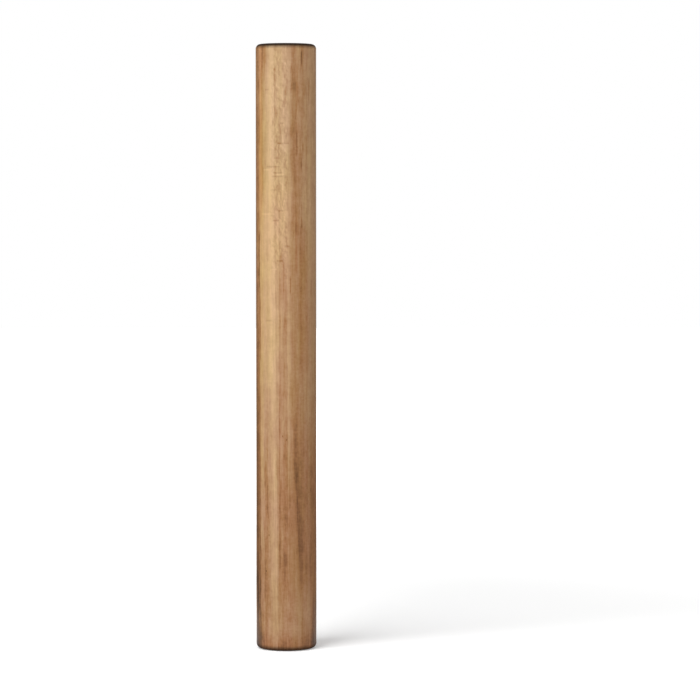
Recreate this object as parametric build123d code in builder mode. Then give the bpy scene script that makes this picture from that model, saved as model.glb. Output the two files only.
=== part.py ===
from build123d import *
import os

# Straight French rolling pin: one bar of hardwood, turned round and sanded, with no handles, axle or bearings.
# It stands on one end. The origin is the centre of that end face, and +Z runs up the grain, along the axis
# that the pin turns about when it rolls under the palms. All sizes are in millimetres.

# Driving dimensions
pin_length = 500.0
pin_diameter = 50.0
end_round_radius = 4.0

# Each end face is what the rounding leaves flat, and the barrel is the straight wall between the two roundings.
barrel_radius = pin_diameter / 2
end_face_radius = barrel_radius - end_round_radius
barrel_low = end_round_radius
barrel_high = pin_length - end_round_radius

# The pin is half of its long section, turned about the Z axis.
with BuildPart() as rolling_pin:
    with BuildSketch(Plane.XZ) as half_section:
        with BuildLine() as outline:
            Line((0, 0), (end_face_radius, 0))
            lower_round = RadiusArc(
                (end_face_radius, 0), (barrel_radius, barrel_low), -end_round_radius
            )
            Line(lower_round @ 1, (barrel_radius, barrel_high))
            upper_round = RadiusArc(
                (barrel_radius, barrel_high), (end_face_radius, pin_length), -end_round_radius
            )
            Line(upper_round @ 1, (0, pin_length))
            Line((0, pin_length), (0, 0))
        make_face()
    revolve(axis=Axis.Z)

rolling_pin.part.label = "rolling_pin"

os.makedirs("parts", exist_ok=True)
export_step(rolling_pin.part, "parts/rolling_pin.step")
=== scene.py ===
"""Straight French rolling pin, turned from one bar of oiled hardwood, standing on a white studio floor.

The pin is one piece, so the scene has one turned body, its wood, and the studio round it. Lengths in the
classes are in millimetres unless a name says otherwise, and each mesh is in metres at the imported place.
"""
import logging
import math
from dataclasses import dataclass
from enum import Enum
from typing import Any, ClassVar, Mapping, Sequence, Union

import bpy
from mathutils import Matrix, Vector


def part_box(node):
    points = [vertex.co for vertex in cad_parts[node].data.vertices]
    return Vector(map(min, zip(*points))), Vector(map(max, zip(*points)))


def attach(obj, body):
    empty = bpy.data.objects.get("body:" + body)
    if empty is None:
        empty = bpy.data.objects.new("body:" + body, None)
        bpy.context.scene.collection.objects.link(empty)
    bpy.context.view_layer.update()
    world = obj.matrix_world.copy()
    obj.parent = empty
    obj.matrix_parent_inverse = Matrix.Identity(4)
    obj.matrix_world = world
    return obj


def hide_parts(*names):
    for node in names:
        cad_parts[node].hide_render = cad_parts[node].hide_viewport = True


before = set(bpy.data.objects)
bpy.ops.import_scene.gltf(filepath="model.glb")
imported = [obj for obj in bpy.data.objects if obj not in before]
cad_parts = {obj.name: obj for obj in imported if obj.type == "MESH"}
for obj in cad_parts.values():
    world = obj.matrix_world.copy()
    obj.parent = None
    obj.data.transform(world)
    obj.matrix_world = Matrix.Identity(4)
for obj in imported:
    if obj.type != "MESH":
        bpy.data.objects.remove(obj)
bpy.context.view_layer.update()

PIN_NODE = "rolling_pin"
PIN_BODY = "root"
MM = 0.001
WHITE = (1.0, 1.0, 1.0, 1.0)
NOISE_MIDDLE = 0.5
QUARTER_TURN = math.pi / 2

log = logging.getLogger("rolling_pin")

Tree = bpy.types.NodeTree
Node = bpy.types.Node
Source = Union[Node, bpy.types.NodeSocket]
Inputs = Union[Sequence[Any], Mapping[Any, Any]]


def linear(colour: str) -> tuple[float, float, float, float]:
    """Turns an sRGB hex colour into the linear colour that a shader socket takes.

    Args:
        colour: The colour as "#rrggbb".

    Returns:
        Linear red, green and blue, and an alpha of 1.
    """
    channels = [int(colour[start:start + 2], 16) / 255 for start in (1, 3, 5)]
    toe_end, toe_slope, offset, gamma = 0.04045, 12.92, 0.055, 2.4
    red, green, blue = (
        value / toe_slope if value <= toe_end else ((value + offset) / (1 + offset)) ** gamma
        for value in channels
    )
    return red, green, blue, 1.0


def add_node(tree: Tree, kind: str, inputs: Inputs = (), **settings: Any) -> Node:
    """Adds a node to a tree, sets its properties, and fills its inputs with values or links.

    Args:
        tree: The node tree that takes the node.
        kind: The node's type, such as "ShaderNodeMath".
        inputs: What goes into the inputs, in order, or by name or number. A node stands for its first
            output in use, and None leaves an input as it is.
        settings: Properties of the node. The setting "stops" gives a colour ramp's places and colours.

    Returns:
        The new node.
    """
    node = tree.nodes.new(kind)
    stops = settings.pop("stops", ())
    for name, value in settings.items():
        setattr(node, name, value)
    for number, (place, colour) in enumerate(stops):
        ramp = node.color_ramp.elements
        stop = ramp[number] if number < len(ramp) else ramp.new(place)
        stop.position = place
        stop.color = colour
    for key, value in (inputs.items() if isinstance(inputs, Mapping) else enumerate(inputs)):
        if value is None:
            continue
        used = [socket for socket in node.inputs if socket.enabled]
        socket = next(s for s in used if s.name == key) if isinstance(key, str) else used[key]
        if isinstance(value, Node):
            value = next(output for output in value.outputs if output.enabled)
        if isinstance(value, bpy.types.NodeSocket):
            tree.links.new(value, socket)
        else:
            socket.default_value = value
    return node


def empty_tree(owner: Union[bpy.types.Material, bpy.types.World]) -> Tree:
    """Switches on the nodes of a material or a world, and clears them away.

    Args:
        owner: The new material or world.

    Returns:
        Its empty node tree.
    """
    owner.use_nodes = True
    owner.node_tree.nodes.clear()
    return owner.node_tree


def add_object(name: str, data: bpy.types.ID) -> bpy.types.Object:
    """Adds an object to the scene.

    Args:
        name: The object's name.
        data: Its mesh, lamp or camera.

    Returns:
        The object.
    """
    piece = bpy.data.objects.new(name, data)
    bpy.context.scene.collection.objects.link(piece)
    return piece


def add_sheet(name: str, corners: Sequence[Any], material: bpy.types.Material) -> bpy.types.Object:
    """Adds a flat sheet to the scene.

    Args:
        name: The sheet's name.
        corners: Its corners in metres, in order.
        material: What it is made of.

    Returns:
        The sheet's object.
    """
    mesh = bpy.data.meshes.new(name)
    mesh.from_pydata(corners, [], [tuple(range(len(corners)))])
    mesh.materials.append(material)
    return add_object(name, mesh)


class Stretch(Enum):
    """The stretches of the half-section, in order from the lower pole to the upper one."""

    LOWER_FACE = "lower face"
    LOWER_ROUND = "lower round"
    BARREL = "barrel"
    UPPER_ROUND = "upper round"
    UPPER_FACE = "upper face"


@dataclass(frozen=True)
class Streaks:
    """One size of streak along the grain: its width and length, and how much it swings what it changes."""

    width: float
    length: float
    swing: float = 1.0
    detail: float = 1.0

    def squeezed(self, tree: Tree, place: Node) -> Node:
        """Squeezes a place in millimetres, so that a streak is about 1 wide and 1 long."""
        scale = (1 / self.width, 1 / self.width, 1 / self.length)
        return add_node(tree, "ShaderNodeVectorMath", (place, scale), operation="MULTIPLY")

    def noise(self, tree: Tree, place: Node) -> Node:
        """Draws out a noise along the grain, with values and colours about NOISE_MIDDLE."""
        inputs = {"Vector": self.squeezed(tree, place), "Scale": 1.0, "Detail": self.detail}
        return add_node(tree, "ShaderNodeTexNoise", inputs)

    def centred(self, tree: Tree, place: Node) -> Node:
        """Draws out a noise along the grain, with values about 0."""
        noise = self.noise(tree, place)
        return add_node(tree, "ShaderNodeMath", (noise, NOISE_MIDDLE), operation="SUBTRACT")

    def bent(self, tree: Tree, place: Node) -> Node:
        """Bends a place across the grain, slowly along it, as the tree grew.

        Args:
            tree: The node tree.
            place: The place in millimetres, as the swing is.

        Returns:
            The bent place in millimetres.
        """
        drift = self.noise(tree, place).outputs["Color"]
        centred = add_node(tree, "ShaderNodeVectorMath", (drift, [NOISE_MIDDLE] * 3), operation="SUBTRACT")
        reach = (2 * self.swing, 2 * self.swing, 0)
        bend = add_node(tree, "ShaderNodeVectorMath", (centred, reach), operation="MULTIPLY")
        return add_node(tree, "ShaderNodeVectorMath", (place, bend), operation="ADD")


@dataclass(frozen=True)
class Spot:
    """What the wood's pattern reads at a spot in the bar: nodes of one tree, with lengths in millimetres.

    The depth is how far out the spot is from the pith, against the bar's own axis.
    """

    tree: Tree
    place: Node
    bent: Node
    height: Source
    depth: Node
    years: Node


@dataclass(frozen=True)
class Mark:
    """A mark of its own in the wood, which lies along a growth layer over part of the bar's height.

    The depth is that of the mark's middle, towards the bark, and the slope is how fast it changes with the
    height. The edges say how softly the mark ends towards the heart and towards the bark. The middle, reach
    and fade are along the height. The tone is what it adds, and the tint colours it.
    """

    LINE_EDGE: ClassVar[float] = 1.3
    LINE_REACH: ClassVar[float] = 0.2
    LINE_FADE: ClassVar[float] = 0.9
    STREAK_HALF_WIDTH: ClassVar[float] = 0.35
    STREAK_EDGE: ClassVar[float] = 0.5
    STREAK_FADE: ClassVar[float] = 5.0
    FLECK_HALF_WIDTH: ClassVar[float] = 0.2
    FLECK_EDGE: ClassVar[float] = 0.35
    FLECK_REACH: ClassVar[float] = 0.3
    FLECK_FADE: ClassVar[float] = 0.8

    name: str
    depth: float
    half_width: float
    heart_edge: float
    bark_edge: float
    middle: float
    reach: float
    fade: float
    tone: float
    slope: float = 0.0
    tint: str = "#FFFFFF"

    @classmethod
    def across(cls, depth: float, half_width: float, height: float, tone: float) -> "Mark":
        """Gives a short thin line across the grain, as the curly figure has.

        Args:
            depth: The depth of the line's middle.
            half_width: Half of the line's length across the grain.
            height: The height at which it lies.
            tone: What it adds to the tone.

        Returns:
            The line.
        """
        return cls(
            "line across", depth, half_width, heart_edge=cls.LINE_EDGE, bark_edge=cls.LINE_EDGE,
            middle=height, reach=cls.LINE_REACH, fade=cls.LINE_FADE, tone=tone,
        )

    @classmethod
    def along(cls, depth: float, height: float, reach: float, tone: float) -> "Mark":
        """Gives a thin streak along the grain.

        Args:
            depth: The streak's depth.
            height: The height of its middle.
            reach: How far it reaches up and down from there.
            tone: What it adds to the tone.

        Returns:
            The streak.
        """
        return cls(
            "thin streak", depth, cls.STREAK_HALF_WIDTH, heart_edge=cls.STREAK_EDGE,
            bark_edge=cls.STREAK_EDGE, middle=height, reach=reach, fade=cls.STREAK_FADE, tone=tone,
        )

    @classmethod
    def fleck(cls, depth: float, height: float, tone: float) -> "Mark":
        """Gives a dark fleck.

        Args:
            depth: The fleck's depth.
            height: The fleck's height.
            tone: What it adds to the tone.

        Returns:
            The fleck.
        """
        return cls(
            "fleck", depth, cls.FLECK_HALF_WIDTH, heart_edge=cls.FLECK_EDGE, bark_edge=cls.FLECK_EDGE,
            middle=height, reach=cls.FLECK_REACH, fade=cls.FLECK_FADE, tone=tone,
        )

    def share(self, spot: Spot) -> Node:
        """Works out how strongly the mark shows at a spot.

        Args:
            spot: The spot in the bar.

        Returns:
            The share, 1 within the mark and 0 away from it.
        """
        tree = spot.tree
        above = add_node(tree, "ShaderNodeMath", (spot.height, self.middle), operation="SUBTRACT")
        beside = add_node(tree, "ShaderNodeMath", (spot.depth, self.depth), operation="SUBTRACT")
        if self.slope:
            inputs = (above, -self.slope, beside)
            beside = add_node(tree, "ShaderNodeMath", inputs, operation="MULTIPLY_ADD")
        away = add_node(tree, "ShaderNodeMath", (above,), operation="ABSOLUTE")
        # A smooth step stays within 0 and 1 by itself. Clamped ones fill the renderer's shader stack.
        heart_side, bark_side, lasting = (
            add_node(
                tree, "ShaderNodeMapRange", (distance, outer, inner), interpolation_type="SMOOTHSTEP",
                clamp=False,
            )
            for distance, outer, inner in (
                (beside, -self.half_width - self.heart_edge, -self.half_width),
                (beside, self.half_width + self.bark_edge, self.half_width),
                (away, self.reach + self.fade, self.reach),
            )
        )
        across = add_node(tree, "ShaderNodeMath", (heart_side, bark_side), operation="MULTIPLY")
        return add_node(tree, "ShaderNodeMath", (across, lasting), operation="MULTIPLY", label=self.name)


@dataclass(frozen=True)
class OiledHardwood:
    """Quarter-cut acacia, turned, sanded fine and rubbed with oil.

    The eye gets long straight grain in honey and brown, paler on the bark side and darker in the heart,
    with fine dark pores, a soft satin gloss, and end grain that the oil has turned nearly black. Some marks
    also paint shade on the rims and the foot, a highlight down the front and light on the right rim.
    """

    name: str = "oiled_acacia"
    pale: str = "#DEBA8E"
    honey: str = "#CEAA7F"
    tan: str = "#BD976E"
    brown: str = "#AA7C50"
    dark: str = "#7A5633"
    deepest: str = "#4E331B"
    deepest_tone: float = 1.25
    gold_tint: str = "#FFFEF8"
    red_tint: str = "#FFF9FF"
    end_dark: str = "#1A0F06"
    end_light: str = "#332010"
    rim_soak_and_shade_depth: float = 1.6
    rim_soak_and_shade_reach: float = 4.65
    rim_soak_and_shade_foot: float = 0.75
    soaked_face: float = 0.8
    pith_across: float = 130.0
    pith_behind: float = -12.0
    ring_spacing: float = 3.4
    ring_shade: float = 0.12
    ring_unevenness: float = 0.31
    ring_shift: float = 2.2
    ring_detail: float = 2.0
    ring_sharpness: float = 5.0
    sap_tone: float = 0.36
    heart_tone: float = 0.62
    heart_depth: float = -4.6
    heart_blend: float = 2.6
    heart_turn: float = 180.0
    heart_slope: float = 0.040
    pore_cells: Streaks = Streaks(width=1.1, length=9.0)
    pore_width: float = 0.16
    pore_shade: float = 0.12
    pore_core: float = 0.6
    pore_rim: float = 1.6
    end_pore_shade: float = 0.6
    roughness_pale: float = 0.31
    roughness_dark: float = 0.42
    refraction: float = 1.5
    sheen: float = 0.22
    end_roughness: float = 1.0
    relief: float = 0.05
    relief_strength: float = 0.6
    pore_sink: float = 0.5
    details_fade: float = 5.0
    waver: Streaks = Streaks(width=7.0, length=30.0, swing=0.7)
    bend: Streaks = Streaks(width=45.0, length=190.0, swing=2.4)
    streaks: tuple[Streaks, ...] = (
        Streaks(width=8.0, length=200.0, swing=0.12),
        Streaks(width=2.6, length=34.0, swing=0.21),
        Streaks(width=1.2, length=11.0, swing=0.17, detail=2.0),
        Streaks(width=0.45, length=18.0, swing=0.03),
        Streaks(width=0.9, length=4.0, swing=0.08),
        Streaks(width=7.0, length=9.0, swing=0.16),
    )
    drift: Streaks = Streaks(width=7.0, length=36.0)
    drift_gold: float = 0.34
    drift_red: float = 0.66
    ripple: Streaks = Streaks(width=3.0, length=1.9, swing=0.10)
    figure: Streaks = Streaks(width=3.4, length=6.5, swing=0.28, detail=2.0)
    figure_edge: float = 0.07
    figure_fill: float = -0.35
    figure_lean: tuple[float, float, float] = (1.1, 0.0, 0.6)
    # Curly figure in the highlight's path: partly wood figure, partly painted glints of the key's
    # highlight.
    figured: Mark = Mark(
        "curly figure", depth=4.5, half_width=4.5, heart_edge=2.5, bark_edge=6.0,
        middle=410, reach=70, fade=50, tone=1.0,
    )
    calm: Mark = Mark(
        "calm heart", depth=-16.0, half_width=11.0, heart_edge=8.0, bark_edge=3.0,
        middle=160, reach=140, fade=60, tone=-0.4,
    )
    marks: tuple[Mark, ...] = (
        # Painted shade: the bark side band and the next mark paint a dark edge down the left rim of the
        # pin.
        Mark("bark side", depth=23.0, half_width=1.5, heart_edge=1.2, bark_edge=0.8,
             middle=250, reach=300, fade=1, tone=0.39, slope=0.003, tint="#FCFCFF"),
        Mark("painted shade on the left rim", depth=22.7, half_width=0.6, heart_edge=0.6, bark_edge=0.8,
             middle=220, reach=25, fade=35, tone=0.08),
        Mark("browner rim", depth=20.0, half_width=0.6, heart_edge=0.7, bark_edge=0.7,
             middle=222, reach=25, fade=20, tone=0.08),
        Mark("golden lower rim", depth=21.5, half_width=0.3, heart_edge=0.6, bark_edge=0.6,
             middle=160, reach=25, fade=30, tone=-0.07),
        # Painted shade: the left rim darkens further near the floor.
        Mark("painted shade at the lower left corner", depth=23.3, half_width=0.8, heart_edge=0.8, bark_edge=0.8,
             middle=0, reach=45, fade=40, tone=0.16),
        Mark("browner lower rim", depth=18.8, half_width=1.0, heart_edge=1.0, bark_edge=1.0,
             middle=35, reach=40, fade=35, tone=0.07),
        Mark("golden rim", depth=20.0, half_width=1.4, heart_edge=1.2, bark_edge=0.8,
             middle=290, reach=130, fade=60, tone=0.0, tint="#FFFEF0"),
        Mark("orange streak", depth=20.4, half_width=1.0, heart_edge=0.8, bark_edge=0.5,
             middle=445, reach=50, fade=60, tone=0.02, tint="#FFF0DE"),
        Mark("line beside it", depth=18.3, half_width=0.8, heart_edge=2.2, bark_edge=0.7,
             middle=450, reach=60, fade=50, tone=0.22, tint="#FFFFF4"),
        Mark("golden line", depth=18.8, half_width=0.8, heart_edge=0.7, bark_edge=0.7,
             middle=147, reach=50, fade=30, tone=-0.17),
        Mark("golden line above it", depth=18.8, half_width=0.8, heart_edge=0.7, bark_edge=0.7,
             middle=272, reach=22, fade=20, tone=-0.08),
        Mark("darker upper corner", depth=17.2, half_width=3.0, heart_edge=2.5, bark_edge=1.0,
             middle=500, reach=12, fade=25, tone=0.16),
        Mark("darker upper end", depth=8.0, half_width=15.0, heart_edge=2.0, bark_edge=2.0,
             middle=480, reach=60, fade=60, tone=0.05, tint="#F9FCFF"),
        Mark("golden sapwood", depth=16.0, half_width=3.0, heart_edge=3.0, bark_edge=2.0,
             middle=345, reach=90, fade=60, tone=-0.12, tint="#FEFFF8"),
        # Painted highlight: a pale band down the front where the key's reflection runs, on top of the real
        # gloss.
        Mark("painted highlight band", depth=10.3, half_width=1.4, heart_edge=0.8, bark_edge=2.8,
             middle=250, reach=240, fade=30, tone=-0.19, slope=0.006),
        Mark("brown line beside it", depth=16.0, half_width=0.8, heart_edge=1.3, bark_edge=1.3,
             middle=95, reach=40, fade=80, tone=0.18),
        Mark("pale lower line", depth=8.9, half_width=1.0, heart_edge=0.6, bark_edge=0.8,
             middle=110, reach=40, fade=25, tone=-0.12),
        Mark("brown lower line", depth=5.6, half_width=0.6, heart_edge=0.7, bark_edge=0.6,
             middle=96, reach=24, fade=14, tone=0.15),
        Mark("paler middle line", depth=4.0, half_width=0.6, heart_edge=0.6, bark_edge=0.6,
             middle=215, reach=50, fade=35, tone=-0.15),
        Mark("paler lower middle", depth=-0.9, half_width=0.8, heart_edge=0.8, bark_edge=0.8,
             middle=96, reach=24, fade=15, tone=-0.11),
        Mark("pale streak", depth=2.8, half_width=0.6, heart_edge=0.8, bark_edge=0.8,
             middle=415, reach=50, fade=30, tone=-0.11),
        Mark("middle zone", depth=2.6, half_width=3.0, heart_edge=1.2, bark_edge=0.8,
             middle=190, reach=110, fade=50, tone=0.13, tint="#FFFDFF"),
        Mark("darker middle", depth=2.5, half_width=2.5, heart_edge=1.5, bark_edge=1.5,
             middle=250, reach=30, fade=40, tone=0.12),
        Mark("middle line", depth=-1.9, half_width=0.4, heart_edge=0.6, bark_edge=0.8,
             middle=205, reach=45, fade=40, tone=-0.10),
        Mark("heart's border", depth=-3.5, half_width=1.5, heart_edge=1.0, bark_edge=1.5,
             middle=270, reach=45, fade=30, tone=0.12),
        Mark("lower middle", depth=-5.0, half_width=1.8, heart_edge=1.0, bark_edge=1.0,
             middle=75, reach=20, fade=35, tone=0.10),
        Mark("heart edge", depth=-5.8, half_width=1.4, heart_edge=2.4, bark_edge=1.6,
             middle=460, reach=60, fade=60, tone=0.10),
        Mark("heart vein", depth=-9.6, half_width=0.7, heart_edge=3.0, bark_edge=0.6,
             middle=114, reach=45, fade=30, tone=0.08, slope=0.052, tint="#FFFAFC"),
        Mark("darker outer heart", depth=-14.4, half_width=2.2, heart_edge=4.0, bark_edge=3.0,
             middle=285, reach=35, fade=40, tone=0.13, tint="#FFFCF2"),
        # Paler towards the right rim: partly paler wood, partly painted light where the lamps fall off too
        # fast.
        Mark("pale outer heart with painted light", depth=-24.0, half_width=7.0, heart_edge=1.0, bark_edge=5.0,
             middle=290, reach=260, fade=20, tone=-0.14, tint="#FFFBF8"),
        Mark("darker lower right rim", depth=-22.5, half_width=2.0, heart_edge=1.0, bark_edge=2.0,
             middle=85, reach=55, fade=25, tone=0.06),
        # Painted shade: the right rim darkens where it meets the floor, on the side of the cast shadow.
        Mark("painted shade at the lower right corner", depth=-23.4, half_width=1.0, heart_edge=0.8, bark_edge=2.0,
             middle=0, reach=25, fade=30, tone=0.15),
        # Palest at the upper right rim: partly paler wood, partly painted light.
        Mark("palest upper rim with painted light", depth=-26.0, half_width=5.0, heart_edge=1.0, bark_edge=3.0,
             middle=440, reach=100, fade=50, tone=-0.13),
        Mark("red streak", depth=-8.6, half_width=0.5, heart_edge=0.8, bark_edge=0.8,
             middle=335, reach=14, fade=14, tone=0.12, tint="#FFF8F8"),
        # Painted shade: the lower end and the foot are darker, as the light falls off towards the floor.
        Mark("painted shade at the lower end", depth=0.0, half_width=40.0, heart_edge=1.0, bark_edge=1.0,
             middle=85, reach=35, fade=130, tone=0.22, tint="#FFFCFF"),
        Mark("paler foot of the heart", depth=-15.5, half_width=4.0, heart_edge=4.0, bark_edge=3.0,
             middle=15, reach=15, fade=45, tone=-0.20),
        Mark("foot", depth=0.0, half_width=40.0, heart_edge=1.0, bark_edge=1.0,
             middle=0, reach=3, fade=18, tone=0.24, tint="#FFFAFF"),
    )
    details: tuple[Mark, ...] = (
        Mark.along(depth=21.6, height=322, reach=20, tone=0.20),
        Mark.along(depth=20.6, height=265, reach=22, tone=0.22),
        Mark.along(depth=-12.8, height=488, reach=4, tone=0.25),
        Mark.along(depth=-19.3, height=461, reach=7, tone=0.20),
        Mark.along(depth=-8.9, height=418, reach=7, tone=0.22),
        Mark.along(depth=-14.0, height=412, reach=3, tone=0.18),
        Mark.along(depth=-12.6, height=404, reach=5, tone=0.18),
        Mark.along(depth=-13.0, height=353, reach=2, tone=0.22),
        Mark.along(depth=2.3, height=308, reach=10, tone=0.16),
        Mark.along(depth=-3.6, height=302, reach=4, tone=0.22),
        Mark.along(depth=-21.0, height=300, reach=3, tone=0.16),
        # The lines across are the curly figure's; the pale ones, with a negative tone, are partly painted
        # glints of the highlight.
        Mark.across(depth=15.0, half_width=0.8, height=462, tone=0.20),
        Mark.across(depth=3.3, half_width=0.8, height=434.5, tone=0.28),
        Mark.across(depth=2.4, half_width=4.2, height=418, tone=0.22),
        Mark.across(depth=7.4, half_width=1.8, height=406, tone=0.18),
        Mark.across(depth=10.0, half_width=4.6, height=399, tone=0.24),
        Mark.across(depth=14.5, half_width=2.6, height=396.5, tone=-0.18),
        Mark.across(depth=7.0, half_width=3.2, height=394, tone=0.20),
        Mark.across(depth=4.5, half_width=2.8, height=392.6, tone=-0.16),
        Mark.across(depth=7.0, half_width=3.4, height=391, tone=0.22),
        Mark.across(depth=10.3, half_width=1.8, height=380, tone=0.15),
        Mark.across(depth=3.7, half_width=2.0, height=363, tone=0.22),
        Mark.across(depth=14.5, half_width=4.2, height=360.3, tone=-0.13),
        Mark.across(depth=8.5, half_width=1.8, height=355, tone=0.24),
        Mark.across(depth=-0.6, half_width=1.3, height=334, tone=0.18),
        Mark.across(depth=5.5, half_width=1.9, height=322, tone=0.24),
        Mark.across(depth=9.6, half_width=1.2, height=315, tone=-0.14),
        Mark.across(depth=13.8, half_width=1.2, height=273, tone=0.18),
        Mark.fleck(depth=3.0, height=178, tone=0.35),
        Mark.fleck(depth=-0.3, height=175, tone=0.30),
        Mark.fleck(depth=13.8, height=96, tone=0.35),
        Mark.fleck(depth=16.3, height=66, tone=0.30),
    )

    def material(self) -> bpy.types.Material:
        """Builds the wood on object coordinates, so that the grain runs through the bar.

        Returns:
            The material.
        """
        material = bpy.data.materials.new(self.name)
        tree = empty_tree(material)
        spot = self.spot(tree)
        tone, tint = self.marked(spot, self.rippled(spot, self.tone(spot)))
        tone = self.detailed(spot, tone)
        pores = self.pores(spot)
        # The end colour's share: oil-soaked end faces, and rounded rims darkened partly as painted shade.
        soaked = self.soaked(spot)
        side = self.side_colour(spot, tone, tint, pores)
        end = self.end_colour(spot, pores)
        colour = add_node(tree, "ShaderNodeMix", {"Factor": soaked, "A": side, "B": end}, data_type="RGBA")
        raised = add_node(tree, "ShaderNodeMath", (pores, -self.pore_sink, tone), operation="MULTIPLY_ADD")
        bump = add_node(
            tree, "ShaderNodeBump",
            {"Strength": self.relief_strength, "Distance": self.relief * MM, "Height": raised},
        )
        satin = add_node(
            tree, "ShaderNodeMapRange", (tone, 0.0, 1.0, self.roughness_pale, self.roughness_dark)
        )
        rough = add_node(tree, "ShaderNodeMix", (soaked, satin, self.end_roughness))
        shader = add_node(
            tree, "ShaderNodeBsdfPrincipled",
            {
                "Base Color": colour, "Roughness": rough, "Normal": bump, "IOR": self.refraction,
                "Specular IOR Level": self.sheen,
            },
        )
        add_node(tree, "ShaderNodeOutputMaterial", (shader,))
        return material

    def spot(self, tree: Tree) -> Spot:
        """Works out what the pattern reads at each spot.

        Args:
            tree: The wood's node tree.

        Returns:
            The spot.
        """
        coordinates = add_node(tree, "ShaderNodeTexCoord").outputs["Object"]
        place = add_node(
            tree, "ShaderNodeVectorMath", {"Vector": coordinates, "Scale": 1 / MM}, operation="SCALE"
        )
        wavering = self.waver.bent(tree, place)
        bent = self.bend.bent(tree, wavering)
        height = add_node(tree, "ShaderNodeSeparateXYZ", (place,)).outputs["Z"]
        return Spot(tree, place, bent, height, self.depth(tree, wavering), self.years(tree, bent))

    def soaked(self, spot: Spot) -> Node:
        """Works out how far the oil has soaked in: all through the end faces, and over the rounded rims,
        where the darkening is partly painted shade of rims that face up or down, away from the light.

        Args:
            spot: The spot in the bar.

        Returns:
            The share, 1 on an end face and 0 on the long grain.
        """
        tree = spot.tree
        below = add_node(tree, "ShaderNodeAttribute", attribute_name=TurnedBar.END_DISTANCE).outputs["Fac"]
        # Painted shade, partly: the rounded rims darken like oil-soaked end grain, a little less at the
        # foot.
        rim = add_node(tree, "ShaderNodeMapRange", (below, self.rim_soak_and_shade_reach, self.rim_soak_and_shade_depth))
        strength = add_node(
            tree, "ShaderNodeMapRange", (spot.height, 0.0, self.heart_turn, self.rim_soak_and_shade_foot, 1.0)
        )
        rim = add_node(tree, "ShaderNodeMath", (rim, strength), operation="MULTIPLY")
        face = add_node(
            tree, "ShaderNodeMapRange", (below, self.soaked_face, 0.0), interpolation_type="SMOOTHSTEP",
            clamp=False,
        )
        return add_node(tree, "ShaderNodeMath", (rim, face), operation="MAXIMUM")

    def depth(self, tree: Tree, place: Node) -> Node:
        """Measures how far out a place is from the pith, against the bar's own axis.

        Args:
            tree: The wood's node tree.
            place: The place in millimetres.

        Returns:
            The depth in millimetres, which grows towards the bark.
        """
        section = add_node(tree, "ShaderNodeVectorMath", (place, (1, 1, 0)), operation="MULTIPLY")
        pith = (self.pith_across, self.pith_behind, 0.0)
        away = add_node(tree, "ShaderNodeVectorMath", (section, pith), operation="DISTANCE")
        return add_node(tree, "ShaderNodeMath", (away, math.hypot(*pith)), operation="SUBTRACT")

    def years(self, tree: Tree, bent: Node) -> Node:
        """Counts the years of growth out from the pith, some of them wider than others.

        Args:
            tree: The wood's node tree.
            bent: The bent place.

        Returns:
            The count of years, with the part of the year as its fraction.
        """
        rings = self.depth(tree, bent)
        even = add_node(tree, "ShaderNodeMath", (rings, self.ring_spacing), operation="DIVIDE")
        uneven = add_node(
            tree, "ShaderNodeTexNoise",
            {"W": even, "Scale": self.ring_unevenness, "Detail": self.ring_detail},
            noise_dimensions="1D",
        )
        return add_node(tree, "ShaderNodeMath", (uneven, self.ring_shift, even), operation="MULTIPLY_ADD")

    def tone(self, spot: Spot) -> Node:
        """Adds up what makes the wood paler or darker: heartwood, growth rings and streaks.

        Args:
            spot: The spot in the bar.

        Returns:
            The tone, from 0 for the palest wood to 1 for the darkest.
        """
        tree = spot.tree
        lower = add_node(tree, "ShaderNodeMath", (self.heart_turn, spot.height), operation="SUBTRACT")
        lower = add_node(tree, "ShaderNodeMath", (lower, 0.0), operation="MAXIMUM")
        edge = add_node(
            tree, "ShaderNodeMath", (lower, self.heart_slope, spot.depth), operation="MULTIPLY_ADD"
        )
        heart = add_node(
            tree, "ShaderNodeMapRange",
            (edge, self.heart_depth + self.heart_blend, self.heart_depth - self.heart_blend),
            interpolation_type="SMOOTHSTEP",
        )
        within = add_node(tree, "ShaderNodeMath", (spot.years,), operation="FRACT")
        late = add_node(tree, "ShaderNodeMath", (within, self.ring_sharpness), operation="POWER")
        year = add_node(tree, "ShaderNodeMath", (spot.years,), operation="FLOOR")
        chance = add_node(tree, "ShaderNodeTexWhiteNoise", {"W": year}, noise_dimensions="1D")
        line = add_node(tree, "ShaderNodeMath", (late, chance.outputs["Value"]), operation="MULTIPLY")
        total = add_node(
            tree, "ShaderNodeMath", (heart, self.heart_tone - self.sap_tone, self.sap_tone),
            operation="MULTIPLY_ADD",
        )
        total = add_node(tree, "ShaderNodeMath", (line, self.ring_shade, total), operation="MULTIPLY_ADD")
        grain: Any = 0.0
        for size in self.streaks:
            grain = add_node(
                tree, "ShaderNodeMath", (size.centred(tree, spot.bent), 2 * size.swing, grain),
                operation="MULTIPLY_ADD",
            )
        calm = self.calm.share(spot)
        strength = add_node(tree, "ShaderNodeMath", (calm, self.calm.tone, 1.0), operation="MULTIPLY_ADD")
        return add_node(tree, "ShaderNodeMath", (grain, strength, total), operation="MULTIPLY_ADD")

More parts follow.
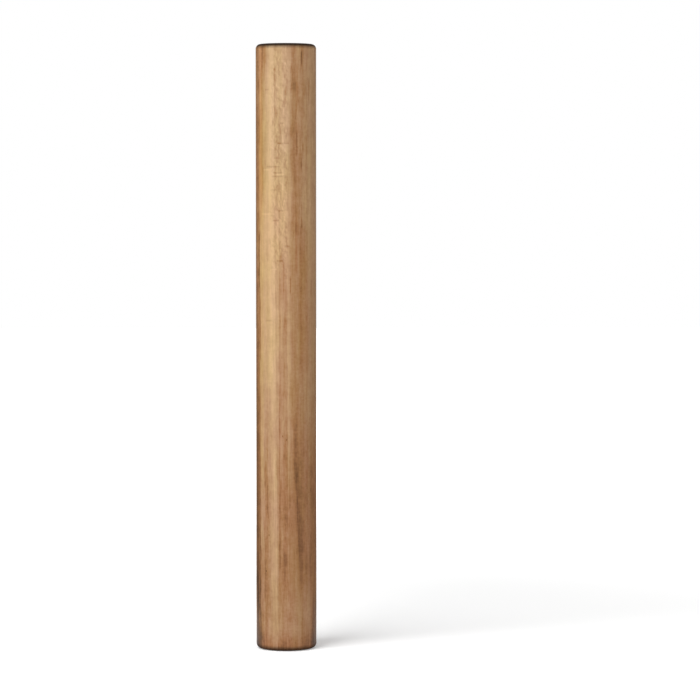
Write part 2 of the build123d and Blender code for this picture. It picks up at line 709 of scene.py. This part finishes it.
    def rippled(self, spot: Spot, tone: Node) -> Node:
        """Adds the faint ripple across the grain, and the curly figure where the sapwood has it; the
        figure's pale edges are partly painted glints of the highlight there.

        The curls are patches of a noise with a dark edge on one side and a pale edge on the other.

        Args:
            spot: The spot in the bar.
            tone: The tone without them.

        Returns:
            The tone with them.
        """
        tree = spot.tree
        inputs = (self.ripple.centred(tree, spot.place), 2 * self.ripple.swing, tone)
        tone = add_node(tree, "ShaderNodeMath", inputs, operation="MULTIPLY_ADD")
        leant = add_node(tree, "ShaderNodeVectorMath", (spot.place, self.figure_lean), operation="ADD")
        here, there = (
            add_node(
                tree, "ShaderNodeMapRange",
                (self.figure.centred(tree, place), -self.figure_edge, self.figure_edge),
            )
            for place in (spot.place, leant)
        )
        edges = add_node(tree, "ShaderNodeMath", (here, there), operation="SUBTRACT")
        edges = add_node(tree, "ShaderNodeMath", (here, self.figure_fill, edges), operation="MULTIPLY_ADD")
        strength = add_node(
            tree, "ShaderNodeMath", (self.figured.share(spot), self.figure.swing), operation="MULTIPLY"
        )
        return add_node(tree, "ShaderNodeMath", (edges, strength, tone), operation="MULTIPLY_ADD")

    def marked(self, spot: Spot, tone: Node) -> tuple[Node, Any]:
        """Adds the wood's own marks to its tone and tint.

        Args:
            spot: The spot in the bar.
            tone: The tone without the marks.

        Returns:
            The tone with the marks, and their tint.
        """
        tree = spot.tree
        tint: Any = WHITE
        for mark in self.marks:
            share = mark.share(spot)
            tone = add_node(tree, "ShaderNodeMath", (share, mark.tone, tone), operation="MULTIPLY_ADD")
            if mark.tint != Mark.tint:
                tint = add_node(
                    tree, "ShaderNodeMix", {"Factor": share, "A": tint, "B": linear(mark.tint)},
                    data_type="RGBA", blend_type="MULTIPLY",
                )
        return tone, tint

    def detailed(self, spot: Spot, tone: Node) -> Node:
        """Adds the thin lines and flecks, which lie in the bar's front half only.

        Args:
            spot: The spot in the bar.
            tone: The tone without the details.

        Returns:
            The tone with them.
        """
        tree = spot.tree
        total: Any = 0.0
        for mark in self.details:
            inputs = (mark.share(spot), mark.tone, total)
            total = add_node(tree, "ShaderNodeMath", inputs, operation="MULTIPLY_ADD")
        behind = add_node(tree, "ShaderNodeSeparateXYZ", (spot.place,)).outputs["Y"]
        front = add_node(tree, "ShaderNodeMapRange", (behind, self.details_fade, -self.details_fade))
        return add_node(tree, "ShaderNodeMath", (total, front, tone), operation="MULTIPLY_ADD")

    def pores(self, spot: Spot) -> Node:
        """Marks the cut vessels: short dark lines along the grain, and dots on the end grain.

        Args:
            spot: The spot in the bar.

        Returns:
            The mark, 1 in a pore and 0 elsewhere.
        """
        squeezed = self.pore_cells.squeezed(spot.tree, spot.bent)
        cells = add_node(
            spot.tree, "ShaderNodeTexVoronoi", {"Vector": squeezed, "Scale": 1.0, "Randomness": 1.0}
        )
        edge = self.pore_width / self.pore_cells.width
        return add_node(
            spot.tree, "ShaderNodeMapRange",
            (cells.outputs["Distance"], self.pore_rim * edge, self.pore_core * edge),
            interpolation_type="SMOOTHSTEP",
        )

    def side_colour(self, spot: Spot, tone: Node, tint: Any, pores: Node) -> Node:
        """Colours the long grain from its tone, with drifts from gold to red.

        Args:
            spot: The spot in the bar.
            tone: The tone from pale to dark.
            tint: The marks' tint.
            pores: The mark of the pores.

        Returns:
            The node that gives the colour.
        """
        tree = spot.tree
        deeper = add_node(tree, "ShaderNodeMath", (pores, self.pore_shade, tone), operation="MULTIPLY_ADD")
        deeper = add_node(tree, "ShaderNodeMath", (deeper, self.deepest_tone), operation="DIVIDE")
        shades = (self.pale, self.honey, self.tan, self.brown, self.dark, self.deepest)
        wood = add_node(
            tree, "ShaderNodeValToRGB", (deeper,),
            stops=[(number / (len(shades) - 1), linear(shade)) for number, shade in enumerate(shades)],
        )
        drift = self.drift.noise(tree, spot.place)
        redness = add_node(tree, "ShaderNodeMapRange", (drift, self.drift_gold, self.drift_red))
        warmth = add_node(
            tree, "ShaderNodeMix",
            {"Factor": redness, "A": linear(self.gold_tint), "B": linear(self.red_tint)}, data_type="RGBA",
        )
        colour: Any = wood.outputs["Color"]
        for glaze in (warmth, tint):
            colour = add_node(
                tree, "ShaderNodeMix", {"Factor": 1.0, "A": colour, "B": glaze},
                data_type="RGBA", blend_type="MULTIPLY",
            )
        return colour

    def end_colour(self, spot: Spot, pores: Node) -> Node:
        """Colours the oil-soaked end grain with its growth rings and open pores.

        Args:
            spot: The spot in the bar.
            pores: The mark of the pores.

        Returns:
            The node that gives the colour.
        """
        tree = spot.tree
        within = add_node(tree, "ShaderNodeMath", (spot.years,), operation="FRACT")
        shade = add_node(
            tree, "ShaderNodeMath", (pores, self.end_pore_shade, within), operation="MULTIPLY_ADD"
        )
        return add_node(
            tree, "ShaderNodeMix",
            {"Factor": shade, "A": linear(self.end_light), "B": linear(self.end_dark)}, data_type="RGBA",
        )


@dataclass
class TurnedBar:
    """The pin itself: a bar turned to a cylinder, with both rims rounded over and the ends sanded flat."""

    END_DISTANCE: ClassVar[str] = "end_distance"
    BAKE_MAP: ClassVar[str] = "OFBake"
    HALFWAY: ClassVar[float] = 0.5

    length: float
    radius: float
    round_radius: float = 4.0
    sectors: int = 192
    face_rings: int = 14
    round_rings: int = 10
    barrel_rings: int = 440
    merge_gap: float = 0.01
    hollows: Streaks = Streaks(width=38.0, length=120.0, swing=0.04, detail=2.0)
    raised_grain: Streaks = Streaks(width=2.6, length=60.0, swing=0.03, detail=2.0)
    seed: int = 7
    chart_margin: float = 0.008
    sheet_top: float = 0.78
    disc_reach: tuple[float, float, float] = (0.225, 0.098, 0.0)
    lower_disc: tuple[float, float, float] = (0.25, 0.889, 0.0)
    upper_disc: tuple[float, float, float] = (0.75, 0.889, 0.0)
    facing_slack: float = 0.00001

    @classmethod
    def from_frame(cls, node: str) -> "TurnedBar":
        """Takes the bar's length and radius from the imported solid.

        Args:
            node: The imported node's name.

        Returns:
            The bar.
        """
        low, high = (Vector(corner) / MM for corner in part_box(node))
        size = high - low
        return cls(length=size.z, radius=min(size.x, size.y) / 2)

    def ring_counts(self) -> dict[Stretch, int]:
        """Gives how many steps the section has in each stretch."""
        return {
            Stretch.LOWER_FACE: self.face_rings,
            Stretch.LOWER_ROUND: self.round_rings,
            Stretch.BARREL: self.barrel_rings,
            Stretch.UPPER_ROUND: self.round_rings,
            Stretch.UPPER_FACE: self.face_rings,
        }

    def inputs(self) -> dict[str, Union[float, int]]:
        """Gives what the node tree takes in: lengths in metres, and counts as whole numbers."""
        return {
            "Length": self.length * MM, "Radius": self.radius * MM, "Round Radius": self.round_radius * MM,
            "Hollow Depth": self.hollows.swing * MM, "Grain Depth": self.raised_grain.swing * MM,
            "Sectors": self.sectors, "Seed": self.seed,
        }

    def tree(self) -> Tree:
        """Builds the Geometry Nodes tree that turns the half-section round the axis.

        Returns:
            The tree, with the bar's sizes as its inputs.
        """
        tree = bpy.data.node_groups.new("turned_bar", "GeometryNodeTree")
        for name, value in self.inputs().items():
            kind = "NodeSocketInt" if isinstance(value, int) else "NodeSocketFloat"
            socket = tree.interface.new_socket(name, in_out="INPUT", socket_type=kind)
            socket.default_value = value
        tree.interface.new_socket("Wood", in_out="INPUT", socket_type="NodeSocketMaterial")
        tree.interface.new_socket("Geometry", in_out="OUTPUT", socket_type="NodeSocketGeometry")
        given = add_node(tree, "NodeGroupInput").outputs
        steps = sum(self.ring_counts().values())
        around = add_node(tree, "ShaderNodeMath", (given["Sectors"], 1), operation="ADD")
        side = 1.0
        grid = add_node(
            tree, "GeometryNodeMeshGrid",
            {"Size X": side, "Size Y": side, "Vertices X": around, "Vertices Y": steps + 1},
        )
        spot = add_node(
            tree, "ShaderNodeVectorMath",
            (add_node(tree, "GeometryNodeInputPosition"), (side / 2, side / 2, 0)), operation="ADD",
        )
        parts = add_node(tree, "ShaderNodeSeparateXYZ", (spot,))
        step = add_node(tree, "ShaderNodeMath", (parts.outputs["Y"], steps), operation="MULTIPLY")
        along = self.progress(tree, step)
        face = add_node(
            tree, "ShaderNodeMath", (given["Radius"], given["Round Radius"]), operation="SUBTRACT"
        )
        rho, height = self.section(tree, given, along, face)
        down = add_node(tree, "ShaderNodeMath", (given["Length"], height), operation="SUBTRACT")
        nearest = add_node(tree, "ShaderNodeMath", (height, down), operation="MINIMUM")
        from_end = add_node(tree, "ShaderNodeMath", (nearest, MM), operation="DIVIDE")
        sine, cosine = self.waves(tree, parts.outputs["X"], math.tau)
        east = add_node(tree, "ShaderNodeMath", (rho, cosine), operation="MULTIPLY")
        north = add_node(tree, "ShaderNodeMath", (rho, sine), operation="MULTIPLY")
        turned = add_node(tree, "ShaderNodeCombineXYZ", (east, north, height))
        spoke = add_node(tree, "ShaderNodeCombineXYZ", (cosine, sine, 0.0))
        chart = self.chart(tree, given, along, face, parts.outputs["X"], spoke)
        shape = add_node(
            tree, "GeometryNodeStoreNamedAttribute",
            {"Geometry": grid, "Name": self.BAKE_MAP, "Value": chart}, data_type="FLOAT2", domain="CORNER",
        )
        shape = add_node(
            tree, "GeometryNodeStoreNamedAttribute",
            {"Geometry": shape, "Name": self.END_DISTANCE, "Value": from_end}, data_type="FLOAT",
            domain="POINT",
        )
        shape = add_node(tree, "GeometryNodeSetPosition", {"Geometry": shape, "Position": turned})
        shape = add_node(
            tree, "GeometryNodeMergeByDistance", {"Geometry": shape, "Distance": self.merge_gap * MM}
        )
        sunk = self.relief(tree, given)
        shape = add_node(tree, "GeometryNodeSetPosition", {"Geometry": shape, "Offset": sunk})
        shape = add_node(tree, "GeometryNodeSetShadeSmooth", {"Geometry": shape, "Shade Smooth": True})
        shape = add_node(tree, "GeometryNodeRealizeInstances", {"Geometry": shape})
        shape = add_node(
            tree, "GeometryNodeSetMaterial", {"Geometry": shape, "Material": given["Wood"]}
        )
        add_node(tree, "NodeGroupOutput", (shape,))
        return tree

    @staticmethod
    def waves(tree: Tree, share: Source, whole: float) -> tuple[Node, Node]:
        """Works out the sine and the cosine of an angle.

        Args:
            tree: The bar's node tree.
            share: How much of the whole it is, from 0 to 1.
            whole: The whole angle in radians.

        Returns:
            The sine and the cosine.
        """
        angle = add_node(tree, "ShaderNodeMath", (share, whole), operation="MULTIPLY")
        sine, cosine = (
            add_node(tree, "ShaderNodeMath", (angle,), operation=wave) for wave in ("SINE", "COSINE")
        )
        return sine, cosine

    def progress(self, tree: Tree, step: Node) -> dict[Stretch, Node]:
        """Splits the count of steps from the lower pole into each stretch's own progress.

        Args:
            tree: The bar's node tree.
            step: The count of steps from the lower pole.

        Returns:
            For each stretch, a node that climbs from 0 at its start to 1 at its end.
        """
        shares = {}
        start = 0
        for stretch, count in self.ring_counts().items():
            shares[stretch] = add_node(tree, "ShaderNodeMapRange", (step, start, start + count))
            start += count
        return shares

    def section(self, tree: Tree, given: Any, along: dict[Stretch, Node], face: Node) -> tuple[Node, Node]:
        """Works out the half-section: flat face, quarter round, straight wall, quarter round, flat face.

        Args:
            tree: The bar's node tree.
            given: The tree's inputs.
            along: Each stretch's progress.
            face: The radius of the flat of an end face.

        Returns:
            The distance from the axis, and the height.
        """
        round_radius = given["Round Radius"]
        low_sine, low_cosine = self.waves(tree, along[Stretch.LOWER_ROUND], QUARTER_TURN)
        high_sine, high_cosine = self.waves(tree, along[Stretch.UPPER_ROUND], QUARTER_TURN)
        flat = add_node(
            tree, "ShaderNodeMath", (along[Stretch.LOWER_FACE], along[Stretch.UPPER_FACE]),
            operation="SUBTRACT",
        )
        swing = add_node(tree, "ShaderNodeMath", (low_sine, high_cosine), operation="ADD")
        swing = add_node(tree, "ShaderNodeMath", (swing, 1.0), operation="SUBTRACT")
        rounds = add_node(tree, "ShaderNodeMath", (swing, round_radius), operation="MULTIPLY")
        rho = add_node(tree, "ShaderNodeMath", (flat, face, rounds), operation="MULTIPLY_ADD")
        wall = add_node(
            tree, "ShaderNodeMath", (round_radius, -2.0, given["Length"]), operation="MULTIPLY_ADD"
        )
        climb = add_node(tree, "ShaderNodeMath", (high_sine, low_cosine), operation="SUBTRACT")
        climb = add_node(tree, "ShaderNodeMath", (climb, 1.0), operation="ADD")
        rise = add_node(tree, "ShaderNodeMath", (climb, round_radius), operation="MULTIPLY")
        height = add_node(
            tree, "ShaderNodeMath", (along[Stretch.BARREL], wall, rise), operation="MULTIPLY_ADD"
        )
        return rho, height

    def chart(
        self, tree: Tree, given: Any, along: dict[Stretch, Node], face: Node, around: Source, spoke: Node
    ) -> Node:
        """Lays the surface out flat: the barrel as a sheet, and each end with its round as a disc above it.

        Args:
            tree: The bar's node tree.
            given: The tree's inputs.
            along: Each stretch's progress.
            face: The radius of the flat of an end face.
            around: The share of the turn, from 0 to 1.
            spoke: The way out from the axis at that turn, 1 long.

        Returns:
            The place on the map.
        """
        low, high = self.chart_margin, 1 - self.chart_margin
        sheet_u = add_node(tree, "ShaderNodeMapRange", (around, 0.0, 1.0, low, high))
        sheet_v = add_node(
            tree, "ShaderNodeMapRange", (along[Stretch.BARREL], 0.0, 1.0, low, self.sheet_top)
        )
        place = add_node(tree, "ShaderNodeCombineXYZ", (sheet_u, sheet_v, 0.0))
        arc = add_node(
            tree, "ShaderNodeMath", (given["Round Radius"], QUARTER_TURN), operation="MULTIPLY"
        )
        whole = add_node(tree, "ShaderNodeMath", (face, arc), operation="ADD")
        # The barrel's own faces lie between -0.5 and 0.5 here, and the faces of the two ends lie at them.
        inputs = (along[Stretch.BARREL], self.HALFWAY)
        facing = add_node(tree, "ShaderNodeMath", inputs, operation="SUBTRACT")
        facing = add_node(tree, "GeometryNodeFieldOnDomain", (facing,), domain="FACE")
        for side, middle, flat, bend in (
            (-1, self.lower_disc, Stretch.LOWER_FACE, Stretch.LOWER_ROUND),
            (1, self.upper_disc, Stretch.UPPER_FACE, Stretch.UPPER_ROUND),
        ):
            out_flat, out_bend = along[flat], along[bend]
            if side > 0:
                out_flat = add_node(tree, "ShaderNodeMath", (1.0, out_flat), operation="SUBTRACT")
                out_bend = add_node(tree, "ShaderNodeMath", (1.0, out_bend), operation="SUBTRACT")
            bent = add_node(tree, "ShaderNodeMath", (out_bend, arc), operation="MULTIPLY")
            run = add_node(tree, "ShaderNodeMath", (out_flat, face, bent), operation="MULTIPLY_ADD")
            share = add_node(tree, "ShaderNodeMath", (run, whole), operation="DIVIDE")
            reach = add_node(tree, "ShaderNodeVectorMath", (spoke, self.disc_reach), operation="MULTIPLY")
            arm = add_node(
                tree, "ShaderNodeVectorMath", {"Vector": reach, "Scale": share}, operation="SCALE"
            )
            disc = add_node(tree, "ShaderNodeVectorMath", (arm, middle), operation="ADD")
            beyond = add_node(tree, "ShaderNodeMath", (facing, side), operation="MULTIPLY")
            edge = self.HALFWAY - self.facing_slack
            on_end = add_node(tree, "ShaderNodeMath", (beyond, edge), operation="GREATER_THAN")
            place = add_node(
                tree, "ShaderNodeMix", {"Factor": on_end, "A": place, "B": disc}, data_type="VECTOR"
            )
        return place

    def relief(self, tree: Tree, given: Any) -> Node:
        """Sinks the surface a little, as sanding by hand and raised grain leave it.

        Args:
            tree: The bar's node tree.
            given: The tree's inputs.

        Returns:
            How far each point moves, which is never outwards.
        """
        position = add_node(tree, "GeometryNodeInputPosition")
        place = add_node(
            tree, "ShaderNodeVectorMath", {"Vector": position, "Scale": 1 / MM}, operation="SCALE"
        )
        seeded = add_node(tree, "ShaderNodeCombineXYZ", [given["Seed"]] * 3)
        place = add_node(tree, "ShaderNodeVectorMath", (place, seeded), operation="ADD")
        sunk: Any = 0.0
        for size, name in ((self.hollows, "Hollow Depth"), (self.raised_grain, "Grain Depth")):
            inputs = (size.noise(tree, place), given[name], sunk)
            sunk = add_node(tree, "ShaderNodeMath", inputs, operation="MULTIPLY_ADD")
        inward = add_node(tree, "ShaderNodeMath", (sunk, -1.0), operation="MULTIPLY")
        normal = add_node(tree, "GeometryNodeInputNormal")
        return add_node(
            tree, "ShaderNodeVectorMath", {"Vector": normal, "Scale": inward}, operation="SCALE"
        )

    def build(self, wood: bpy.types.Material) -> bpy.types.Object:
        """Turns the bar and makes it a plain mesh.

        Args:
            wood: The material of the bar.

        Returns:
            The finished piece, at the origin.
        """
        tree = self.tree()
        piece = add_object("turned_pin", bpy.data.meshes.new("turned_pin"))
        modifier = piece.modifiers.new("turning", "NODES")
        modifier.node_group = tree
        values = {**self.inputs(), "Wood": wood}
        for socket in tree.interface.items_tree:
            if socket.in_out == "INPUT":
                modifier[socket.identifier] = values[socket.name]
        depsgraph = bpy.context.evaluated_depsgraph_get()
        mesh = bpy.data.meshes.new_from_object(
            piece.evaluated_get(depsgraph), preserve_all_data_layers=True, depsgraph=depsgraph
        )
        piece.modifiers.clear()
        mesh.materials.clear()
        mesh.materials.append(wood)
        mesh.polygons.foreach_set("material_index", [0] * len(mesh.polygons))
        piece.data = mesh
        mesh.name = piece.name
        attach(piece, PIN_BODY)
        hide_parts(PIN_NODE)
        return piece


@dataclass(frozen=True)
class SoftBox:
    """A soft studio light that faces the middle of the pin. Its level says how bright its face is."""

    WATTS_PER_LEVEL: ClassVar[float] = 4.0

    name: str
    azimuth: float
    distance: float
    height: float
    width: float
    tall: float
    level: float
    mirrored: bool = True

    def hang(self, aim: Vector) -> bpy.types.Object:
        """Places the light.

        Args:
            aim: The point that the light faces.

        Returns:
            The lamp's object.
        """
        lamp = bpy.data.lights.new(self.name, "AREA")
        lamp.shape = "RECTANGLE"
        lamp.size, lamp.size_y = self.width * MM, self.tall * MM
        lamp.energy = self.WATTS_PER_LEVEL * self.level * lamp.size * lamp.size_y
        turn = math.radians(self.azimuth)
        piece = add_object(self.name, lamp)
        piece.location = (
            self.distance * MM * math.sin(turn), -self.distance * MM * math.cos(turn), self.height * MM
        )
        piece.rotation_euler = (aim - piece.location).to_track_quat("-Z", "Y").to_euler()
        piece.visible_camera = False
        piece.visible_glossy = self.mirrored
        return piece


@dataclass(frozen=True)
class DarkCard:
    """A dark card behind the pin, out of the picture, that its gloss mirrors as a dark rim."""

    name: str
    azimuth: float
    distance: float
    width: float
    tall: float
    shade: float

    def stand(self) -> bpy.types.Object:
        """Stands the card up so that it faces the pin.

        Returns:
            The card's object.
        """
        turn = math.radians(self.azimuth)
        middle = Vector((math.sin(turn), -math.cos(turn), 0)) * self.distance * MM
        side = Vector((math.cos(turn), math.sin(turn), 0)) * self.width * MM / 2
        top = Vector((0, 0, self.tall * MM))
        card = bpy.data.materials.new(self.name)
        tree = empty_tree(card)
        grey = add_node(tree, "ShaderNodeEmission", {"Color": WHITE, "Strength": self.shade})
        add_node(tree, "ShaderNodeOutputMaterial", (grey,))
        corners = [middle - side, middle + side, middle + side + top, middle - side + top]
        piece = add_sheet(self.name, corners, card)
        piece.visible_camera = False
        piece.visible_diffuse = False
        piece.visible_shadow = False
        return piece


@dataclass
class Studio:
    """The white floor, the soft lights and the camera of the product shot."""

    camera_distance: float = 2500.0
    camera_height: float = 376.3
    camera_pitch: float = 2.946
    camera_yaw: float = 1.211
    lens: float = 155.41
    sensor_width: float = 36.0
    light_aim_height: float = 250.0
    ambient: float = 0.26
    floor_half: float = 6000.0
    floor_drop: float = 0.15
    paper_bounce: float = 0.35
    paper_shown: float = 0.87
    floor_boost: float = 0.27
    white_from: float = 347.0
    white_at: float = 1400.0

    def aim_camera(self) -> bpy.types.Object:
        """Places the camera at the product shot's viewing angle.

        Returns:
            The camera's object.
        """
        camera = bpy.data.cameras.new("camera")
        camera.lens = self.lens
        camera.sensor_width = self.sensor_width
        piece = add_object("camera", camera)
        piece.location = (0, -self.camera_distance * MM, self.camera_height * MM)
        pitch = QUARTER_TURN - math.radians(self.camera_pitch)
        piece.rotation_euler = (pitch, 0, math.radians(-self.camera_yaw))
        bpy.context.scene.camera = piece
        return piece

    def seen(self, tree: Tree) -> Node:
        """Tells the rays that show the background: those of the camera, of gloss and through glass.

        Args:
            tree: The node tree of a background material.

        Returns:
            The node that gives 1 for such a ray and 0 for the rest.
        """
        path = add_node(tree, "ShaderNodeLightPath").outputs
        either = add_node(
            tree, "ShaderNodeMath", (path["Is Camera Ray"], path["Is Glossy Ray"]), operation="MAXIMUM"
        )
        return add_node(
            tree, "ShaderNodeMath", (either, path["Is Transmission Ray"]), operation="MAXIMUM"
        )

    def light_world(self) -> None:
        """Gives the room an even soft light, and shows it white."""
        world = bpy.data.worlds.new("studio")
        bpy.context.scene.world = world
        tree = empty_tree(world)
        strength = add_node(
            tree, "ShaderNodeMapRange", (self.seen(tree), 0.0, 1.0, self.ambient, 1.0)
        )
        background = add_node(tree, "ShaderNodeBackground", {"Color": WHITE, "Strength": strength})
        add_node(tree, "ShaderNodeOutputWorld", (background,))

    def lay_floor(self) -> bpy.types.Object:
        """Lays white paper under the pin: it keeps the pin's shadow and runs out to pure white.

        Returns:
            The floor's object.
        """
        material = bpy.data.materials.new("white_paper")
        tree = empty_tree(material)
        away = add_node(
            tree, "ShaderNodeVectorMath", (add_node(tree, "ShaderNodeTexCoord").outputs["Object"],),
            operation="LENGTH",
        )
        glow = add_node(
            tree, "ShaderNodeMapRange",
            (away, self.white_from * MM, self.white_at * MM, self.floor_boost, 1.0),
            interpolation_type="SMOOTHSTEP",
        )
        glow = add_node(tree, "ShaderNodeMath", (glow, self.seen(tree)), operation="MULTIPLY")
        gain = add_node(
            tree, "ShaderNodeMapRange", (self.seen(tree), 0.0, 1.0, self.paper_bounce, self.paper_shown)
        )
        tone = add_node(tree, "ShaderNodeCombineColor", (gain, gain, gain))
        paper = add_node(tree, "ShaderNodeBsdfDiffuse", {"Color": tone})
        shine = add_node(tree, "ShaderNodeEmission", {"Color": WHITE, "Strength": glow})
        both = add_node(tree, "ShaderNodeAddShader", (paper, shine))
        add_node(tree, "ShaderNodeOutputMaterial", (both,))
        half, low = self.floor_half * MM, -self.floor_drop * MM
        corners = [(-half, -half, low), (half, -half, low), (half, half, low), (-half, half, low)]
        piece = add_sheet("paper_floor", corners, material)
        return piece

    def stand_cards(self) -> list[bpy.types.Object]:
        """Stands a dark card behind the pin on each side.

        Returns:
            The cards' objects.
        """
        cards = (
            DarkCard("left_card", azimuth=-138, distance=220, width=320, tall=800, shade=0.12),
            DarkCard("right_card", azimuth=138, distance=220, width=320, tall=800, shade=0.15),
        )
        return [card.stand() for card in cards]

    def hang_lights(self) -> list[bpy.types.Object]:
        """Hangs the tall soft box at the left, a weak fill at the right and a low light behind.

        Returns:
            The lamps' objects.
        """
        aim = Vector((0, 0, self.light_aim_height)) * MM
        boxes = (
            SoftBox("key", azimuth=-40, distance=1600, height=1930, width=1450, tall=2080, level=5.0),
            SoftBox(
                "fill", azimuth=68, distance=2600, height=900, width=1400, tall=1400, level=2.3,
                mirrored=False,
            ),
            SoftBox("rear", azimuth=180, distance=2600, height=1200, width=1600, tall=1400, level=0.6),
        )
        return [box.hang(aim) for box in boxes]


def main() -> None:
    """Builds the pin and the studio round it, and reports each piece."""
    logging.basicConfig(level=logging.INFO, format="%(message)s")
    scene = bpy.context.scene
    scene.view_settings.view_transform = "Standard"
    bar = TurnedBar.from_frame(PIN_NODE)
    pin = bar.build(OiledHardwood().material())
    log.info("%s: %d faces, %.1f mm long", pin.name, len(pin.data.polygons), bar.length)
    studio = Studio()
    studio.light_world()
    log.info("%s: laid", studio.lay_floor().name)
    for lamp in studio.hang_lights():
        log.info("%s: hung", lamp.name)
    for card in studio.stand_cards():
        log.info("%s: stood", card.name)
    log.info("%s: aimed", studio.aim_camera().name)


if __name__ == "__main__":
    main()
